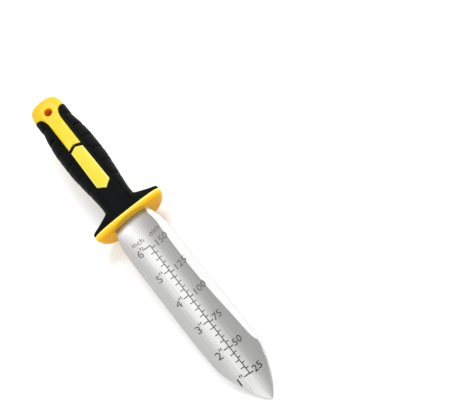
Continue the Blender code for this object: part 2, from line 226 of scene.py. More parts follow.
# Camera: degrees from the blade's upright, metres, mm of lens; the aim is a slope from the lens axis.
CAMERA_TILT = 25.0
CAMERA_LEAN = -1.0
CAMERA_ROLL = 51.95
CAMERA_DISTANCE = 1.191
LENS = 123.9
AIM_ON_TOOL = (28.0, 0.0, 0.0)
AIM_ACROSS = -0.0496
AIM_UP = -0.0233

# Depth scale, mm: its line, its ticks and the sizes of its lettering.
INCH = 25.4
INCH_MARK = "\u2033"
SCALE_Y = -1.5
INK_LIFT = 0.05
LINE_WIDTH = 0.75
TICK_WIDTH = 0.85
STROKE_STEP = 1.2
LINE_TRIM = 0.4
INCH_TICK = 4.8
QUARTER_TICK = 3.3
LAST_INCH_TICK = 6.6
QUARTER_MM_TICK = 3.2
FIVE_MM_TICK = 2.4
INCH_SIZE = 9.0
INCH_MARK_SIZE = 7.4
MM_SIZE = 7.8
MM_DIGIT = 2.15                # half a digit's width
UNIT_SIZE = 6.2
BOLD = 0.05
MARK_BOLD = 0.08
UNIT_BOLD = 0.04
INCH_PLACE = (2.2, -9.8)       # centres of the lettering, from the end of its tick on the line
INCH_MARK_PLACE = (0.3, -6.4)
MM_PLACE = (-0.4, 3.0)
INCH_WORD_PLACE = (-7.0, -6.2)
MM_WORD_PLACE = (-9.5, 9.1)
GLYPH_CURVES = 3

# Lights: place in metres, size in metres, watts; all of them point at the world's middle.
KEY_LIGHT = ((-0.75, 0.44, 1.5), (0.8, 0.8), 13.4)
SIDE_LIGHT = ((-0.3, 1.9, 0.8), (1.6, 0.8), 4.0)
ROOM_STRENGTH = 0.92
FLOOR_HALF = 3.0
FLOOR_GLOW = 0.16              # keeps the shadows on the white floor light

# Colour pairs, linear: the deep and the pale end of each surface's clouding.
STEEL = ((0.37, 0.37, 0.368), (0.47, 0.47, 0.465))
# near white ground edges: the ground facet is real, its whiteness a painted highlight
GROUND_STEEL_PAINTED_HIGHLIGHT = ((0.84, 0.84, 0.84), (0.92, 0.92, 0.915))
CORE = ((0.73, 0.55, 0.004), (0.78, 0.61, 0.007))
# the pommel end is painted deeper orange as shade
POMMEL_PAINTED_SHADE = ((0.72, 0.45, 0.0), (0.77, 0.51, 0.001))
# deep orange painted shade for the inside of the hang hole
HOLE_PAINTED_SHADE = ((0.80, 0.26, 0.0), (0.86, 0.32, 0.001))
INLAY = ((0.72, 0.58, 0.014), (0.76, 0.62, 0.022))
# paler yellow painted highlight on the inlays' eased edges
INLAY_PAINTED_HIGHLIGHT = ((0.80, 0.72, 0.16), (0.84, 0.76, 0.2))
# the faint blue in both rubber colours is painted reflection
RUBBER = ((0.0016, 0.0019, 0.0022), (0.0034, 0.004, 0.0044))
GREYER_INK = ((0.12, 0.116, 0.11), (0.24, 0.232, 0.22))
BLACKER_INK = ((0.008, 0.008, 0.008), (0.03, 0.029, 0.028))
FLOOR = ((0.90, 0.90, 0.90), (0.92, 0.92, 0.92))
GUARD_CLOUD = ((0.94, 0.92, 0.9), (1.0, 1.0, 1.0))
# painted light on the guard: the pale stops are a painted highlight along the back edge, the deep orange
# stops painted shade towards the blade
GUARD_PAINTED_LIGHT_STOPS = [
    (0.0, (1.0, 0.86, 0.26)), (0.16, (1.0, 0.76, 0.12)), (0.4, (0.96, 0.56, 0.01)), (1.0, (0.73, 0.32, 0.0)),
]
GUARD_PAINTED_LIGHT_SPAN = (-6.0, 1.0)
POMMEL_SHADE_FADE = (-122.0, -100.0)
INK_GREYING = (60.0, 165.0)


def to_world(x, y, z):
    """World point of a place on the tool in mm."""
    return TURN @ Vector((x, y, z)) * MM + ORIGIN


def on_tool(point):
    """World point in the tool's axes, mm."""
    return TURN.transposed() @ (point - ORIGIN) / MM


def smooth_table(rows, column=1):
    """Shape-keeping cubic through a table; returns a function of x."""
    rows = sorted(rows)
    xs = np.array([r[0] for r in rows], float)
    vs = np.array([r[column] for r in rows], float)
    gaps = np.diff(xs)
    slopes = np.diff(vs) / gaps
    tangents = np.zeros_like(vs)
    tangents[0] = slopes[0]
    tangents[-1] = slopes[-1]
    for i in range(1, len(xs) - 1):
        if slopes[i - 1] * slopes[i] > 0.0:
            w1 = 2.0 * gaps[i] + gaps[i - 1]
            w2 = gaps[i] + 2.0 * gaps[i - 1]
            tangents[i] = (w1 + w2) / (w1 / slopes[i - 1] + w2 / slopes[i])

    def read(x):
        x = min(max(x, xs[0]), xs[-1])
        i = min(int(np.searchsorted(xs, x, side="right")) - 1, len(xs) - 2)
        h = gaps[i]
        t = (x - xs[i]) / h
        a = (1.0 + 2.0 * t) * (1.0 - t) ** 2
        b = t * (1.0 - t) ** 2
        c = t * t * (3.0 - 2.0 * t)
        d = t * t * (t - 1.0)
        return float(a * vs[i] + b * h * tangents[i] + c * vs[i + 1] + d * h * tangents[i + 1])

    return read


def step(low, high, value):
    """Smooth rise from 0 to 1 between two values."""
    t = min(max((value - low) / (high - low), 0.0), 1.0)
    return t * t * (3.0 - 2.0 * t)


def spaced(*spans):
    """Positions along the tool for spans of (start, end, spacing)."""
    return [float(x) for span in spans for x in np.arange(*span)]


outline_read = [smooth_table(OUTLINE, c) for c in range(1, 7)]
blade_half = smooth_table(BLADE_HALF)
hollow = smooth_table(HOLLOW)
drop = smooth_table(DROP)
facet = smooth_table(FACET)
strip_edge = smooth_table(STRIP_EDGE)
trench_edge = smooth_table(TRENCH_EDGE)


def outline_at(x):
    return [read(x) for read in outline_read]


def mesh_object(name, points, faces):
    """Mesh object from points in the tool's axes, welded and with its faces turned outward."""
    mesh = bpy.data.meshes.new(name)
    mesh.from_pydata([to_world(*p) for p in points], [], faces)
    work = bmesh.new()
    work.from_mesh(mesh)
    bmesh.ops.remove_doubles(work, verts=work.verts, dist=WELD)
    bmesh.ops.recalc_face_normals(work, faces=work.faces)
    work.to_mesh(mesh)
    work.free()
    made = bpy.data.objects.new(name, mesh)
    bpy.context.scene.collection.objects.link(made)
    return made


def piece(name, points, faces, slot, node=None, sharp=SOFT_ANGLE):
    """Piece of the one body; node is the CAD part it stands for, sharp the crease angle in degrees."""
    made = mesh_object(name, points, faces)
    finish_shading(made, sharp)
    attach(made, "root")
    if node:
        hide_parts(node)
    return made


def finish_shading(item, sharp):
    """Smooth faces with creases kept above an angle."""
    for face in item.data.polygons:
        face.use_smooth = True
    item.data.set_sharp_from_angle(angle=math.radians(sharp))


def skin(rings):
    """Points and faces of a closed body through rings of equal count, capped at both ends."""
    count = len(rings[0])
    faces = []
    for r in range(len(rings) - 1):
        low = r * count
        high = low + count
        for i in range(count):
            j = (i + 1) % count
            faces.append((low + i, low + j, high + j, high + i))
    faces.append(tuple(range(count - 1, -1, -1)))
    last = (len(rings) - 1) * count
    faces.append(tuple(range(last, last + count)))
    return [p for ring in rings for p in ring], faces


# ---------------------------------------------------------------- handle


def half_height(x, y, upper):
    """Height of the upper or lower surface of the outline over (x, y)."""
    a, top, mid, low, top_power, low_power = outline_at(x)
    power = top_power if upper else low_power
    rise = top - mid if upper else mid - low
    reach = min(abs(y) / a, 1.0)
    z = rise * (1.0 - reach ** power) ** (1.0 / power)
    return mid + z if upper else mid - z


def side_columns(x, edges, side_count):
    """Right-hand outline points: top columns at the edges given, then round the side, then the same below."""
    a, top, mid, low, top_power, low_power = outline_at(x)
    points = [(y, half_height(x, y, True), True) for y in edges]
    last = edges[-1]
    for upper, power in ((True, top_power), (False, low_power)):
        start = math.acos(min((last / a) ** (power / 2.0), 1.0))
        rise = top - mid if upper else mid - low
        arc = []
        for i in range(1, side_count + 1):
            turn = start * (1.0 - i / side_count)
            y = a * math.cos(turn) ** (2.0 / power)
            z = rise * math.sin(turn) ** (2.0 / power)
            arc.append((y, mid + z if upper else mid - z, upper))
        if upper:
            points += arc
        else:
            points += arc[:-1][::-1]
    points += [(y, half_height(x, y, False), False) for y in reversed(edges)]
    return points


def outward(x, y, z):
    """Outward direction of the outline across the handle."""
    a, top, mid, low, top_power, low_power = outline_at(x)
    upper = z >= mid
    power = top_power if upper else low_power
    rise = top - mid if upper else mid - low
    ny = math.copysign((abs(y) / a) ** (power - 1.0) / a, y)
    nz = math.copysign((abs(z - mid) / rise) ** (power - 1.0) / rise, z - mid)
    size = math.hypot(ny, nz)
    return ny / size, nz / size


def grip_relief(x, y, z, width):
    """How far the rubber stands in or out at a point: yellow trench, line groove, cross grooves."""
    depth = 0.0
    y = abs(y)
    if x < TRENCH_END[1]:
        depth -= TRENCH_DEPTH * (1.0 - step(*TRENCH_WALL, y - width)) * (1.0 - step(*TRENCH_END, x))
        depth -= LIP_DEPTH * (1.0 - step(*LIP_WALL, y - width))
    fade = step(*LINE_START, x) * (1.0 - step(*LINE_END, x))
    line = max(LINE_GROOVE, width + LINE_CLEAR)
    depth -= LINE_DEPTH * fade * math.exp(-((y - line) / LINE_HALF) ** 2)
    if y > line:
        share = GROOVE_MIDDLE_SHARE + (1.0 - GROOVE_MIDDLE_SHARE) * step(*GROOVE_ROUND, abs(z))
        band = step(*GROOVE_BAND, y - line) * share
        nearest = min(abs(x - g) for g in GROOVES)
        depth -= band * GROOVE_DEPTH * (1.0 - step(*GROOVE_WALL, nearest))
        if RIB_SPAN[0] < x < RIB_SPAN[1]:
            depth -= band * RIB_DEPTH * (1.0 - step(*RIB_SLOPE, nearest))
    return depth


def grip_ring(x):
    """Ring of the rubber sleeve; its columns crowd at the trench wall and at the line groove."""
    half = outline_at(x)[0]
    width = min(trench_edge(x), half - TRENCH_MARGIN)
    line = max(min(LINE_GROOVE, half - LINE_MARGIN), width + LINE_OFF_TRENCH)
    edges = [width * k / TRENCH_COLUMNS for k in range(TRENCH_COLUMNS + 1)]
    edges += [width + (line - width) * f for f in WALL_COLUMNS]
    edges += [min(line + e, half - RIM_MARGIN) for e in LINE_COLUMNS]
    right = []
    (x0, z0), (x1, z1) = THUMB_REST
    flat = z0 + (z1 - z0) * (x - x0) / (x1 - x0)
    for y, z, upper in side_columns(x, edges, GRIP_SIDE_COLUMNS):
        ny, nz = outward(x, y, z)
        d = grip_relief(x, y, z, width)
        py, pz = y + ny * d, z + nz * d
        if upper and x > THUMB_START[0] and y < THUMB_HALF_WIDTH:
            pz += step(*THUMB_START, x) * (min(pz, flat) - pz)
        right.append((py, pz))
    left = [(-y, z) for y, z in reversed(right[1:-1])]
    return [(x, y, z) for y, z in right + left]


def make_grip():
    """Rubber sleeve with its trench, grooves, thumb rest and flared collar."""
    stations = spaced((-113.6, -16.0, 0.5), (-16.0, -8.0, 0.3)) + [-8.0, -7.6, -7.0, -6.4, -6.12]
    points, faces = skin([grip_ring(x) for x in stations])
    grip = piece("grip_rubber", points, faces, "grip_rubber", "grip")
    cut_hole(grip, HOLE_IN_RUBBER)
    return grip


def core_ring(x):
    """Ring of the hard core; towards the front the outer points run ahead, which leaves a V at the end."""
    half = outline_at(x)[0]
    pommel = x < STRIP_EDGE[0][0]
    width = half * CORE_RIM if pommel else min(strip_edge(x), half * CORE_RIM)
    edges = [width * f for f in CORE_COLUMNS]
    limit = FLAT + FLAT_RISE * step(*FLAT_FADE, x)
    lead = STRIP_POINT * step(STRIP_POINT_START, STRIP_FRONT, x)
    right = []
    columns = side_columns(x, edges, CORE_SIDE_COLUMNS)
    for index, (y, z, upper) in enumerate(columns):
        on_strip = index < len(edges) or index >= len(columns) - len(edges)
        ny, nz = outward(x, max(y, 1e-4), z)
        if pommel:
            d = POMMEL_PROUD
        elif on_strip:
            near = min(width - y, (STRIP_FRONT - x) * STRIP_FRONT_SLOPE)
            d = STRIP_PROUD - STRIP_EASE * (1.0 - step(0.0, STRIP_EASE_WIDTH, near))
        else:
            d = -CORE_DEPTH
        height = min(max(z + nz * d, -limit), limit)
        right.append((x + lead * min(y / width, 1.0), y + ny * d, height))
    left = [(px, -y, z) for px, y, z in reversed(right[1:-1])]
    return right + left


def make_core():
    """Hard yellow core: pommel, hang hole and the two strips; the hole's wall takes the second material, a
    deep orange painted shade.
    """
    stations = [-126.0, -125.9, -125.7, -125.3, -124.8, -124.2, -123.5, -122.7, -121.8, -120.8]
    stations += spaced((-120.0, -78.0, 0.6))
    stations += [-77.6, -77.0, -76.5, -76.1, -75.8, -75.6, -75.5, STRIP_FRONT]
    points, faces = skin([core_ring(x) for x in stations])
    core = piece("handle_yellow", points, faces, "yellow_plastic", "handle_core")
    cut_hole(core, 0.0)
    # the hole's wall is painted deep orange as shade
    for face in core.data.polygons:
        spot = on_tool(face.center)
        if math.hypot(spot.x - HOLE_X, spot.y) < HOLE_SHADE_RADIUS and abs(spot.z) < HOLE_SHADE_HEIGHT:
            face.material_index = 1
    return core


def cut_hole(item, wider):
    """Hang hole with eased rims, cut with one exact boolean."""
    rings = []
    for z, radius in HOLE_PROFILE:
        ring = []
        for i in range(HOLE_SIDES):
            turn = 2.0 * math.pi * i / HOLE_SIDES
            ring.append((HOLE_X + (radius + wider) * math.cos(turn), (radius + wider) * math.sin(turn), z))
        rings.append(ring)
    tool = mesh_object("hole_cutter", *skin(rings))
    cut = item.modifiers.new("hole", "BOOLEAN")
    cut.operation = "DIFFERENCE"
    cut.solver = "EXACT"
    cut.object = tool
    bpy.context.view_layer.update()
    graph = bpy.context.evaluated_depsgraph_get()
    result = bpy.data.meshes.new_from_object(item.evaluated_get(graph))
    item.modifiers.clear()
    item.data = result
    bpy.data.objects.remove(tool, do_unlink=True)
    finish_shading(item, SOFT_ANGLE)


def inlay_rows(upper):
    """Rows of points over the outer face of an inlay, from its rear point to its front point."""
    across = [-v for v in reversed(INLAY_COLUMNS)] + [0.0] + list(INLAY_COLUMNS)
    length = INLAY_FRONT - INLAY_REAR
    body = np.linspace(INLAY_BODY_START, length - INLAY_BODY_START, INLAY_BODY_ROWS)
    along = list(INLAY_END_ROWS) + list(body) + [length - e for e in reversed(INLAY_END_ROWS)]
    sign = 1.0 if upper else -1.0
    rows = []
    for s in along:
        t = s / length
        half = INLAY_HALF[0] + (INLAY_HALF[1] - INLAY_HALF[0]) * t
        row = []
        for v in across:
            rear = INLAY_REAR + INLAY_REAR_POINT * abs(v)
            front = INLAY_FRONT - INLAY_FRONT_POINT * abs(v)
            x = rear + (front - rear) * t
            y = half * v
            near = min(half * (1.0 - abs(v)), s * INLAY_END_SLOPE, (length - s) * INLAY_END_SLOPE)
            d = INLAY_PROUD - INLAY_EASE * (1.0 - step(0.0, INLAY_EASE_WIDTH, near))
            row.append((x, y, half_height(x, y, upper) + sign * d))
        rows.append(row)
    return rows


def make_inlay(name, node, upper):
    """Long six-sided inlay with an eased edge all round, which takes the second material: a paler yellow that
    is a painted highlight.
    """
    rows = inlay_rows(upper)
    sign = 1.0 if upper else -1.0
    points = [p for row in rows for p in row]
    count = len(rows[0])
    faces = []
    for r in range(len(rows) - 1):
        for i in range(count - 1):
            low = r * count + i
            faces.append((low, low + 1, low + 1 + count, low + count))
    base = len(points)
    border = list(range(count))
    border += [r * count + count - 1 for r in range(1, len(rows))]
    border += [(len(rows) - 1) * count + i for i in range(count - 2, -1, -1)]
    border += [r * count for r in range(len(rows) - 2, 0, -1)]
    points += [(points[i][0], points[i][1], points[i][2] - sign * INLAY_DEPTH) for i in border]
    total = len(border)
    for k in range(total):
        n = (k + 1) % total
        faces.append((border[k], border[n], base + n, base + k))
    faces.append(tuple(range(base + total - 1, base - 1, -1)))
    inlay = piece(name, points, faces, "yellow_plastic", node)
    # the eased edge faces get the paler painted highlight
    low, high = INLAY_HIGHLIGHT_FACING
    for face in inlay.data.polygons:
        if low < sign * (TURN.transposed() @ face.normal).z < high:
            face.material_index = 1
    return inlay


# ---------------------------------------------------------------- guard


def guard_front(y, z):
    """Foremost x of the guard: a bow-shaped hollow over the root of the blade, plane elsewhere."""
    across = max(1.0 - (y / SCOOP_HALF_WIDTH) ** 2, 0.0)
    return -SCOOP_DEPTH * across * step(*SCOOP_BOTTOM, z)


def guard_ring(x, inset):
    """Ring of the guard's outline drawn in by the inset; upper and lower halves are superellipses."""
    ring = []
    for i in range(GUARD_SIDES):
        turn = 2.0 * math.pi * (i + 0.5) / GUARD_SIDES
        c = math.cos(turn)
        s = math.sin(turn)
        power = GUARD_TOP_POWER if s > 0.0 else GUARD_BOTTOM_POWER
        height = (GUARD_TOP - GUARD_WIDEST if s > 0.0 else GUARD_WIDEST - GUARD_BOTTOM) - inset
        y = (GUARD_HALF_WIDTH - inset) * math.copysign(abs(c) ** (2.0 / power), c)
        z = GUARD_WIDEST + height * math.copysign(abs(s) ** (2.0 / power), s)
        ring.append((min(x, guard_front(y, z)), y, z))
    return ring


def make_guard():
    """Hand guard plate: eased back edge, full round towards the blade, hollowed front."""
    rings = [guard_ring(x, inset) for x, inset in GUARD_RIM]
    rim_ring = rings[-1]
    for part in FRONT_RINGS:
        ring = []
        for _, y, z in rim_ring:
            y, z = y * part, GUARD_WIDEST + (z - GUARD_WIDEST) * part
            ring.append((guard_front(y, z), y, z))
        rings.append(ring)
    return piece("guard_yellow", *skin(rings), "yellow_plastic", "guard", 60.0)


# ---------------------------------------------------------------- blade


def crease_at(x):
    """Distance of the ground facet's inner border from the centre line, on the right side only."""
    half = blade_half(x)
    return half - min(facet(x), half * EDGE_SHARE)


def bevel_at(x):
    """Width of the bevel under the left edge."""
    return min(UNDER_BEVEL, blade_half(x) * EDGE_SHARE)


def thickness(x):
    return min(THICK, EDGE + blade_half(x) * TIP_THINNING)


def dish(x, y):
    """Height of the hollow face of the blade, with the ground facet along its right edge."""
    half = blade_half(x)
    depth = hollow(x)
    centre = drop(x)
    crease = crease_at(x)
    if y <= crease:
        return centre + depth * (y / half) ** 2
    rim = centre - thickness(x) + depth + EDGE
    start = centre + depth * (crease / half) ** 2
    return start + (rim - start) * (y - crease) / (half - crease)


def belly(x, y):
    """Height of the underside of the blade, with the bevel under its left edge."""
    half = blade_half(x)
    depth = hollow(x)
    bevel = bevel_at(x)
    low = drop(x) - thickness(x)
    if y >= bevel - half:
        return low + depth * (y / half) ** 2
    start = low + depth * ((half - bevel) / half) ** 2
    rim = drop(x) + depth - EDGE
    return start + (rim - start) * (bevel - half - y) / bevel


def edge_line(x):
    """Width of the narrow plain rim outside the ground facet."""
    return min(EDGE_LINE, (blade_half(x) - crease_at(x)) / 2.0)


def blade_ring(x):
    """Ring of the blade: hollow face from left to right, right rim, underside back, left rim."""
    half = blade_half(x)
    crease = crease_at(x)
    bevel = bevel_at(x)
    ground = half - crease - edge_line(x)
    top = list(np.linspace(-RIM_COLUMN * half, crease, BLADE_COLUMNS))
    top += [crease + ground * f for f in FACET_COLUMNS]
    under = list(np.linspace(RIM_COLUMN * half, bevel - half, BLADE_COLUMNS))
    under += [bevel - half - bevel * f for f in BEVEL_COLUMNS]
    right = (x, half, (dish(x, half) + belly(x, half)) / 2.0)
    left = (x, -half, (dish(x, -half) + belly(x, -half)) / 2.0)
    return [(x, y, dish(x, y)) for y in top] + [right] + [(x, y, belly(x, y)) for y in under] + [left]


def make_blade():
    """Hollow pointed blade; its ground edges take the second material, near white: a real ground facet with a
    painted highlight.
    """
    stations = spaced((ROOT, 1.0, 1.0), (1.0, 40.0, 0.8), (40.0, 120.0, 2.0), (120.0, 176.0, 0.6))
    stations += [176.2, 176.6, 177.0, 177.3, 177.6, TIP]
    blade = piece("blade_steel", *skin([blade_ring(x) for x in stations]), "blade_steel", "blade", 30.0)
    # ground facet faces are painted near white as a highlight
    for face in blade.data.polygons:
        spot = on_tool(face.center)
        up = (TURN.transposed() @ face.normal).z
        inner = crease_at(spot.x) + CREASE_MARGIN
        outer = blade_half(spot.x) - edge_line(spot.x)
        on_facet = up > FACING and inner < spot.y < outer and facet(spot.x) > LEAST_FACET
        under_left = spot.y < UNDER_BEVEL - blade_half(spot.x) and spot.x < UNDER_BEVEL_END
        if on_facet or (up < -FACING and under_left):
            face.material_index = 1
    return blade


# ---------------------------------------------------------------- scale on the blade


def stroke(start, end, width, points, faces):
    """Add a thin bar between two (x, y) places, as a row of short quads that can follow the hollow."""
    (x0, y0), (x1, y1) = start, end
    length = math.hypot(x1 - x0, y1 - y0)
    ux, uy = (x1 - x0) / length, (y1 - y0) / length
    steps = max(int(length / STROKE_STEP), 1)
    base = len(points)
    for i in range(steps + 1):
        x, y = x0 + ux * length * i / steps, y0 + uy * length * i / steps
        points.append((x + uy * width / 2.0, y - ux * width / 2.0))
        points.append((x - uy * width / 2.0, y + ux * width / 2.0))
    for a in range(base, base + 2 * steps, 2):
        faces.append((a, a + 1, a + 3, a + 2))


def lettering(words, size, x, y, weight, points, faces):
    """Add the flat outline of a word, centred at (x, y) with its foot towards the tip."""
    curve = bpy.data.curves.new("mark", "FONT")
    curve.body = words
    curve.size = size
    curve.align_x = "CENTER"
    curve.align_y = "CENTER"
    curve.offset = weight
    curve.resolution_u = GLYPH_CURVES
    item = bpy.data.objects.new("mark", curve)
    bpy.context.scene.collection.objects.link(item)
    bpy.context.view_layer.update()
    graph = bpy.context.evaluated_depsgraph_get()
    mesh = bpy.data.meshes.new_from_object(item.evaluated_get(graph))
    work = bmesh.new()
    work.from_mesh(mesh)
    bmesh.ops.triangulate(work, faces=work.faces)
    base = len(points)
    points.extend((x - v.co.y, y + v.co.x) for v in work.verts)
    faces.extend(tuple(base + v.index for v in f.verts) for f in work.faces)
    work.free()
    bpy.data.objects.remove(item, do_unlink=True)
    bpy.data.curves.remove(curve)
    bpy.data.meshes.remove(mesh)


def rule_scale(points, faces):
    """Centre line, quarter-inch ticks on the left and 5 mm ticks on the right."""
    line = SCALE_Y
    first, last = TIP - INCH, TIP - 6.0 * INCH
    stroke((first + LINE_TRIM, line), (last - LINE_TRIM, line), LINE_WIDTH, points, faces)
    for quarter in range(4, 25):
        x = TIP - INCH * quarter / 4.0
        whole = quarter % 4 == 0
        reach = INCH_TICK if whole else QUARTER_TICK
        if quarter == 24:
            reach = LAST_INCH_TICK
        stroke((x, line - reach), (x, line), TICK_WIDTH if whole else LINE_WIDTH, points, faces)
    for tick in range(5, 31):
        x = TIP - 5.0 * tick
        whole = tick % 5 == 0
        reach = QUARTER_MM_TICK if whole else FIVE_MM_TICK
        stroke((x, line), (x, line + reach), TICK_WIDTH if whole else LINE_WIDTH, points, faces)


def number_scale(points, faces):
    """Inches with their marks on the left, millimetres on the right, and the names of both units."""

    def write(words, reading, place, size, bold):
        lettering(words, size, TIP - reading + place[0], SCALE_Y + place[1], bold, points, faces)

    for inches in range(1, 7):
        bold = 0.0 if inches == 4 else BOLD     # a bolder 4 would fill its counter
        write(str(inches), INCH * inches, INCH_PLACE, INCH_SIZE, bold)
        write(INCH_MARK, INCH * inches, INCH_MARK_PLACE, INCH_MARK_SIZE, MARK_BOLD)
    for reading in range(25, 151, 25):
        words = str(reading)
        place = (MM_PLACE[0], MM_PLACE[1] + MM_DIGIT * len(words))
        write(words, reading, place, MM_SIZE, BOLD)
    write("inch", INCH * 6.0, INCH_WORD_PLACE, UNIT_SIZE, UNIT_BOLD)
    write("mm", 150.0, MM_WORD_PLACE, UNIT_SIZE, UNIT_BOLD)


def make_scale():
    """Etched depth scale, a hair above the hollow face."""
    points = []
    faces = []
    rule_scale(points, faces)
    number_scale(points, faces)
    lifted = [(x, y, dish(x, y) + INK_LIFT) for x, y in points]
    return piece("depth_scale", lifted, faces, "blade_steel", sharp=60.0)


# ---------------------------------------------------------------- materials


MIX_FIRST = 6                  # the Mix node's colour sockets
MIX_SECOND = 7
MIX_RESULT = 2


class Nodes:
    """Procedural Principled material in the tool's own axes."""

    def __init__(self, name):
        self.material = bpy.data.materials.new(name)
        self.material.use_nodes = True
        self.tree = self.material.node_tree
        self.shader = self.tree.nodes["Principled BSDF"]
        where = self.tree.nodes.new("ShaderNodeTexCoord")
        self.place = self.tree.nodes.new("ShaderNodeMapping")
        self.place.inputs["Rotation"].default_value = (0.0, -PITCH, 0.0)
        self.tree.links.new(where.outputs["Object"], self.place.inputs["Vector"])

    def link(self, source, target):
        self.tree.links.new(source, target)

    def noise(self, scale, detail, rough, stretch=(1.0, 1.0, 1.0)):
        stretched = self.tree.nodes.new("ShaderNodeMapping")
        stretched.inputs["Scale"].default_value = stretch
        self.link(self.place.outputs["Vector"], stretched.inputs["Vector"])
        made = self.tree.nodes.new("ShaderNodeTexNoise")
        made.inputs["Scale"].default_value = scale
        made.inputs["Detail"].default_value = detail
        made.inputs["Roughness"].default_value = rough
        self.link(stretched.outputs["Vector"], made.inputs["Vector"])
        return made.outputs["Fac"]

    def ramp(self, factor, stops):
        made = self.tree.nodes.new("ShaderNodeValToRGB")
        ramp = made.color_ramp
        while len(ramp.elements) < len(stops):
            ramp.elements.new(0.5)
        for element, (position, color) in zip(ramp.elements, stops):
            element.position = position
            element.color = (*color, 1.0)
        self.link(factor, made.inputs["Fac"])
        return made.outputs["Color"]

    def spread(self, factor, low, high, target):
        """Drive a socket between two values by a noise."""
        made = self.tree.nodes.new("ShaderNodeMapRange")
        made.inputs["To Min"].default_value = low
        made.inputs["To Max"].default_value = high
        self.link(factor, made.inputs["Value"])
        self.link(made.outputs["Result"], target)

    def along(self, start, end):
        """0 to 1 between two x positions on the tool, in mm."""
        parts = self.tree.nodes.new("ShaderNodeSeparateXYZ")
        self.link(self.place.outputs["Vector"], parts.inputs["Vector"])
        made = self.tree.nodes.new("ShaderNodeMapRange")
        made.inputs["From Min"].default_value = ORIGIN_ALONG + start * MM
        made.inputs["From Max"].default_value = ORIGIN_ALONG + end * MM
        self.link(parts.outputs["X"], made.inputs["Value"])
        return made.outputs["Result"]

    def mix(self, factor, first, second):
        """First colour where the factor is 0, second where it is 1."""
        made = self.tree.nodes.new("ShaderNodeMix")
        made.data_type = "RGBA"
        self.link(factor, made.inputs["Factor"])
        self.link(first, made.inputs[MIX_FIRST])
        self.link(second, made.inputs[MIX_SECOND])
        return made.outputs[MIX_RESULT]

    def times(self, first, second):
        made = self.tree.nodes.new("ShaderNodeMix")
        made.data_type = "RGBA"
        made.blend_type = "MULTIPLY"
        made.inputs["Factor"].default_value = 1.0
        self.link(first, made.inputs[MIX_FIRST])
        self.link(second, made.inputs[MIX_SECOND])
        return made.outputs[MIX_RESULT]

    def clouding(self, factor, pair, end=0.7):
        """Colour pair spread over the middle of a noise."""
        return self.ramp(factor, [(0.3, pair[0]), (end, pair[1])])

    def bump(self, heights):
        """Stack bumps of (height, strength, depth in metres)."""
        before = None
        for factor, strength, distance in heights:
            made = self.tree.nodes.new("ShaderNodeBump")
            made.inputs["Strength"].default_value = strength
            made.inputs["Distance"].default_value = distance
            self.link(factor, made.inputs["Height"])
            if before is not None:
                self.link(before, made.inputs["Normal"])
            before = made.outputs["Normal"]
        self.link(before, self.shader.inputs["Normal"])


def steel(name, shades, roughness, metallic, line_scale, line_depth):
    """Brushed steel: fine lengthwise lines over soft clouding."""
    made = Nodes(name)
    lines = made.noise(line_scale, 6.0, 0.7, (0.02, 1.0, 1.0))
    fine = made.noise(line_scale * 2.3, 3.0, 0.6, (0.03, 1.0, 1.0))
    cloud = made.noise(45.0, 3.0, 0.5, (0.5, 1.0, 1.0))
    made.link(made.clouding(lines, shades), made.shader.inputs["Base Color"])
    made.spread(cloud, *roughness, made.shader.inputs["Roughness"])
    made.shader.inputs["Metallic"].default_value = metallic
    made.bump([(lines, 0.25, line_depth), (fine, 0.2, line_depth * 0.6)])
    return made.material


def yellow(name, shades, roughness, rear=None):
    """Moulded yellow plastic: faint clouding, fine spark texture, slight sink; rear is the deeper orange
    painted as shade at the pommel end.
    """
    made = Nodes(name)
    cloud = made.noise(60.0, 4.0, 0.5)
    grain = made.noise(2600.0, 3.0, 0.6)
    sink = made.noise(110.0, 2.0, 0.5)
    shade = made.clouding(cloud, shades)
    # pommel end painted deeper orange as shade
    if rear:
        shade = made.mix(made.along(*POMMEL_SHADE_FADE), made.clouding(cloud, rear), shade)
    made.link(shade, made.shader.inputs["Base Color"])
    made.spread(grain, *roughness, made.shader.inputs["Roughness"])
    made.shader.inputs["Specular IOR Level"].default_value = 0.35
    made.shader.inputs["Subsurface Weight"].default_value = 0.08
    made.shader.inputs["Subsurface Radius"].default_value = (0.004, 0.002, 0.0005)
    made.bump([(sink, 0.12, 0.0004), (grain, 0.15, 0.00006)])
    return made.material


def guard_plastic(name):
    """Moulded yellow with painted light: a painted highlight along the thin back edge and painted shade, deep
    orange, towards the blade.
    """
    made = Nodes(name)
    cloud = made.noise(60.0, 4.0, 0.5)
    grain = made.noise(2600.0, 3.0, 0.6)
    # painted highlight at the back edge, fading to painted shade towards the blade
    edge = made.ramp(made.along(*GUARD_PAINTED_LIGHT_SPAN), GUARD_PAINTED_LIGHT_STOPS)
    made.link(made.times(edge, made.clouding(cloud, GUARD_CLOUD)), made.shader.inputs["Base Color"])
    made.spread(grain, 0.2, 0.28, made.shader.inputs["Roughness"])
    made.shader.inputs["Specular IOR Level"].default_value = 0.2
    made.bump([(cloud, 0.12, 0.0004), (grain, 0.15, 0.00006)])
    return made.material


def rubber(name):
    """Black moulded rubber: pebbled grain, dusty bloom, and a faint blue in its colours that is painted
    reflection.
    """
    made = Nodes(name)
    pebble = made.noise(1500.0, 4.0, 0.6)
    bloom = made.noise(70.0, 5.0, 0.6)
    made.link(made.clouding(bloom, RUBBER, 0.75), made.shader.inputs["Base Color"])
    made.spread(pebble, 0.5, 0.68, made.shader.inputs["Roughness"])
    made.shader.inputs["Specular IOR Level"].default_value = 0.07
    made.bump([(bloom, 0.1, 0.0003), (pebble, 0.3, 0.00012)])
    return made.material


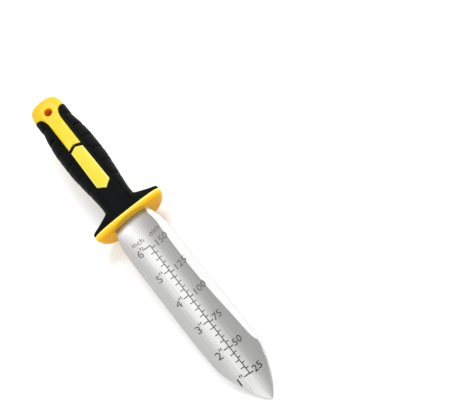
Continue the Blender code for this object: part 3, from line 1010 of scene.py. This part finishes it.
def ink(name):
    """Etched marks: near black by the tip, greyer towards the guard."""
    made = Nodes(name)
    wear = made.noise(900.0, 5.0, 0.7)
    greyer = made.clouding(wear, GREYER_INK, 0.75)
    blacker = made.clouding(wear, BLACKER_INK, 0.75)
    made.link(made.mix(made.along(*INK_GREYING), greyer, blacker), made.shader.inputs["Base Color"])
    made.spread(wear, 0.7, 0.9, made.shader.inputs["Roughness"])
    made.shader.inputs["Specular IOR Level"].default_value = 0.05
    made.bump([(wear, 0.1, 0.00003)])
    return made.material


def put(item, *materials):
    """Give a piece its materials; each face keeps its slot."""
    kept = [face.material_index for face in item.data.polygons]
    item.data.materials.clear()
    for made in materials:
        item.data.materials.append(made)
    for face, index in zip(item.data.polygons, kept):
        face.material_index = min(index, len(materials) - 1)


# ---------------------------------------------------------------- room


def make_floor():
    """Plain pale paper floor."""
    mesh = bpy.data.meshes.new("floor")
    far = FLOOR_HALF
    corners = [(-far, -far, 0.0), (far, -far, 0.0), (far, far, 0.0), (-far, far, 0.0)]
    mesh.from_pydata(corners, [], [(0, 1, 2, 3)])
    floor = bpy.data.objects.new("floor", mesh)
    bpy.context.scene.collection.objects.link(floor)
    made = Nodes("floor_paper")
    cloud = made.noise(6.0, 2.0, 0.5)
    made.link(made.clouding(cloud, FLOOR), made.shader.inputs["Base Color"])
    made.shader.inputs["Roughness"].default_value = 0.9
    made.shader.inputs["Specular IOR Level"].default_value = 0.1
    made.shader.inputs["Emission Color"].default_value = (1.0, 1.0, 1.0, 1.0)
    made.shader.inputs["Emission Strength"].default_value = FLOOR_GLOW
    put(floor, made.material)


def area_light(name, place, size, power):
    """Rectangular white light pointing at the world's middle."""
    data = bpy.data.lights.new(name, "AREA")
    data.shape = "RECTANGLE"
    data.size, data.size_y = size
    data.energy = power
    item = bpy.data.objects.new(name, data)
    item.location = place
    item.rotation_mode = "QUATERNION"
    item.rotation_quaternion = (-Vector(place)).to_track_quat("-Z", "Y")
    bpy.context.scene.collection.objects.link(item)


def make_light():
    """White room, a soft key from above and behind on the right, and a weak fill from low on the right."""
    bpy.context.scene.view_settings.view_transform = "Standard"
    world = bpy.data.worlds.new("studio")
    bpy.context.scene.world = world
    world.use_nodes = True
    back = world.node_tree.nodes["Background"]
    back.inputs["Color"].default_value = (1.0, 1.0, 1.0, 1.0)
    back.inputs["Strength"].default_value = ROOM_STRENGTH
    area_light("key", *KEY_LIGHT)
    area_light("side", *SIDE_LIGHT)


def make_camera():
    """Long lens looking from the tip side, aimed so that the tool lies left of the middle."""
    tilt = math.radians(CAMERA_TILT)
    lean = math.radians(CAMERA_LEAN)
    view = TURN @ Vector((math.sin(tilt) * math.cos(lean), -math.sin(lean), math.cos(tilt) * math.cos(lean)))
    view.normalize()
    roll = math.radians(CAMERA_ROLL)
    ray = Vector((AIM_ACROSS, AIM_UP, -1.0)).normalized()
    axis_seen = Vector((math.cos(roll), -math.sin(roll), 0.0))
    axis_seen = (axis_seen - ray * axis_seen.dot(ray)).normalized()
    along = TURN @ Vector((1.0, 0.0, 0.0))
    along = (along - view * along.dot(view)).normalized()
    seen = Matrix((ray, axis_seen, ray.cross(axis_seen))).transposed()
    real = Matrix((-view, along, (-view).cross(along))).transposed()
    data = bpy.data.cameras.new("camera")
    data.sensor_width = 36.0
    data.lens = LENS
    data.clip_start = 0.05
    data.clip_end = 20.0
    camera = bpy.data.objects.new("camera", data)
    camera.rotation_mode = "QUATERNION"
    camera.rotation_quaternion = (real @ seen.transposed()).to_quaternion()
    camera.location = to_world(*AIM_ON_TOOL) + view * CAMERA_DISTANCE
    bpy.context.scene.collection.objects.link(camera)
    bpy.context.scene.camera = camera


make_camera()
steel_look = steel("brushed_steel", STEEL, (0.44, 0.54), 1.0, 900.0, 0.00006)
ground_highlight_look = steel("ground_steel_painted_highlight", GROUND_STEEL_PAINTED_HIGHLIGHT, (0.45, 0.55), 0.35, 1400.0, 0.00005)
core_look = yellow("yellow_core", CORE, (0.32, 0.42), POMMEL_PAINTED_SHADE)
hole_shade_look = yellow("yellow_hole_painted_shade", HOLE_PAINTED_SHADE, (0.4, 0.5))
inlay_look = yellow("yellow_inlay", INLAY, (0.34, 0.44))
inlay_highlight_look = yellow("yellow_inlay_painted_highlight", INLAY_PAINTED_HIGHLIGHT, (0.3, 0.4))
put(make_blade(), steel_look, ground_highlight_look)
put(make_scale(), ink("etched_marks"))
put(make_guard(), guard_plastic("yellow_guard_painted_light"))
put(make_core(), core_look, hole_shade_look)
put(make_grip(), rubber("black_rubber"))
put(make_inlay("inlay_top", "top_inlay", True), inlay_look, inlay_highlight_look)
put(make_inlay("inlay_bottom", "bottom_inlay", False), inlay_look, inlay_highlight_look)
make_floor()
make_light()
